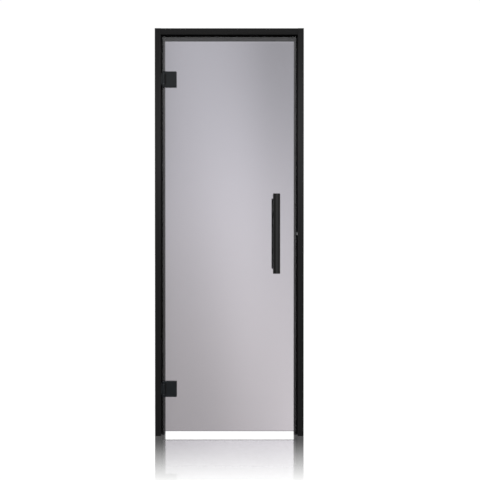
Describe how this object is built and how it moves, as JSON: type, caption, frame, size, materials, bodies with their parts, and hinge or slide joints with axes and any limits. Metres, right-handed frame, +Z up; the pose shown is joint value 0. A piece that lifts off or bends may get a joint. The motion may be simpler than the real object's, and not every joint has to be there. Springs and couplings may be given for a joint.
{
  "type": "glass sauna door with frame",
  "caption": "Frameless smoked glass door leaf on side clamp hinges in a black rebated wooden frame without a threshold, with a through-bolted pull handle and a roller catch.",
  "frame": {"origin": "on the floor, on the outer side face of the hinge jamb, half way between its front and its back", "axes": "+X across the opening from the hinge jamb to the lock jamb, +Y from the room into the sauna, +Z up"},
  "size_m": [0.69, 0.124, 1.89],
  "materials": {
    "frame_lacquer": "black stained and lacquered timber with faint upright grain, satin",
    "seal_rubber": "matt black silicone",
    "smoked_glass": "clear toughened glass tinted smoke grey, polished edges",
    "hinge_black": "satin black powder coat",
    "hinge_pin_steel": "blackened steel",
    "black_screw": "black zinc",
    "screw_steel": "zinc plated steel",
    "handle_black": "black stained and lacquered timber, grain along the bar",
    "handle_fitting": "satin black powder coat",
    "catch_steel": "black coated steel plate",
    "catch_plastic": "black nylon",
    "roller_nylon": "grey nylon",
    "clear_sleeve": "dark soft plastic"
  },
  "bodies": {
    "frame": {"hinge_jamb": "frame_lacquer", "lock_jamb": "frame_lacquer", "head_jamb": "frame_lacquer", "hinge_side_seal": "seal_rubber", "lock_side_seal": "seal_rubber", "head_seal": "seal_rubber", "hinge_side_corner_screws": "black_screw", "lock_side_corner_screws": "black_screw", "catch_housing": "catch_steel", "catch_screws": "screw_steel", "upper_hinge_bracket": "hinge_black", "upper_hinge_bracket_screws": "black_screw", "upper_hinge_pin": "hinge_pin_steel", "upper_hinge_washers": "catch_plastic", "lower_hinge_bracket": "hinge_black", "lower_hinge_bracket_screws": "black_screw", "lower_hinge_pin": "hinge_pin_steel", "lower_hinge_washers": "catch_plastic"},
    "leaf": {"door_glass": "smoked_glass", "outer_handle_bar": "handle_black", "inner_handle_bar": "handle_black", "outer_handle_posts": "handle_fitting", "inner_handle_posts": "handle_fitting", "outer_handle_washers": "handle_fitting", "inner_handle_washers": "handle_fitting", "handle_bolts": "screw_steel", "handle_sleeves": "clear_sleeve", "upper_hinge_front_plate": "hinge_black", "upper_hinge_back_plate": "hinge_black", "upper_hinge_pads": "seal_rubber", "upper_hinge_clamp_screws": "black_screw", "lower_hinge_front_plate": "hinge_black", "lower_hinge_back_plate": "hinge_black", "lower_hinge_pads": "seal_rubber", "lower_hinge_clamp_screws": "black_screw"},
    "plunger": {"catch_plunger": "catch_plastic", "catch_roller_pin": "screw_steel"},
    "roller": {"catch_roller": "roller_nylon"}
  },
  "joints": [
    {"name": "leaf_swing", "type": "hinge", "parent": "frame", "child": "leaf", "pos_m": [0.041, -0.0335, 0.9], "axis": [0, 0, -1], "range_deg": [0, 110]},
    {"name": "catch_plunge", "type": "slide", "parent": "frame", "child": "plunger", "axis": [1, 0, 0], "range_m": [0, 0.004]},
    {"name": "roller_spin", "type": "hinge", "parent": "plunger", "child": "roller", "pos_m": [0.6621, -0.026, 0.94], "axis": [0, 0, 1], "continuous": true}
  ]
}
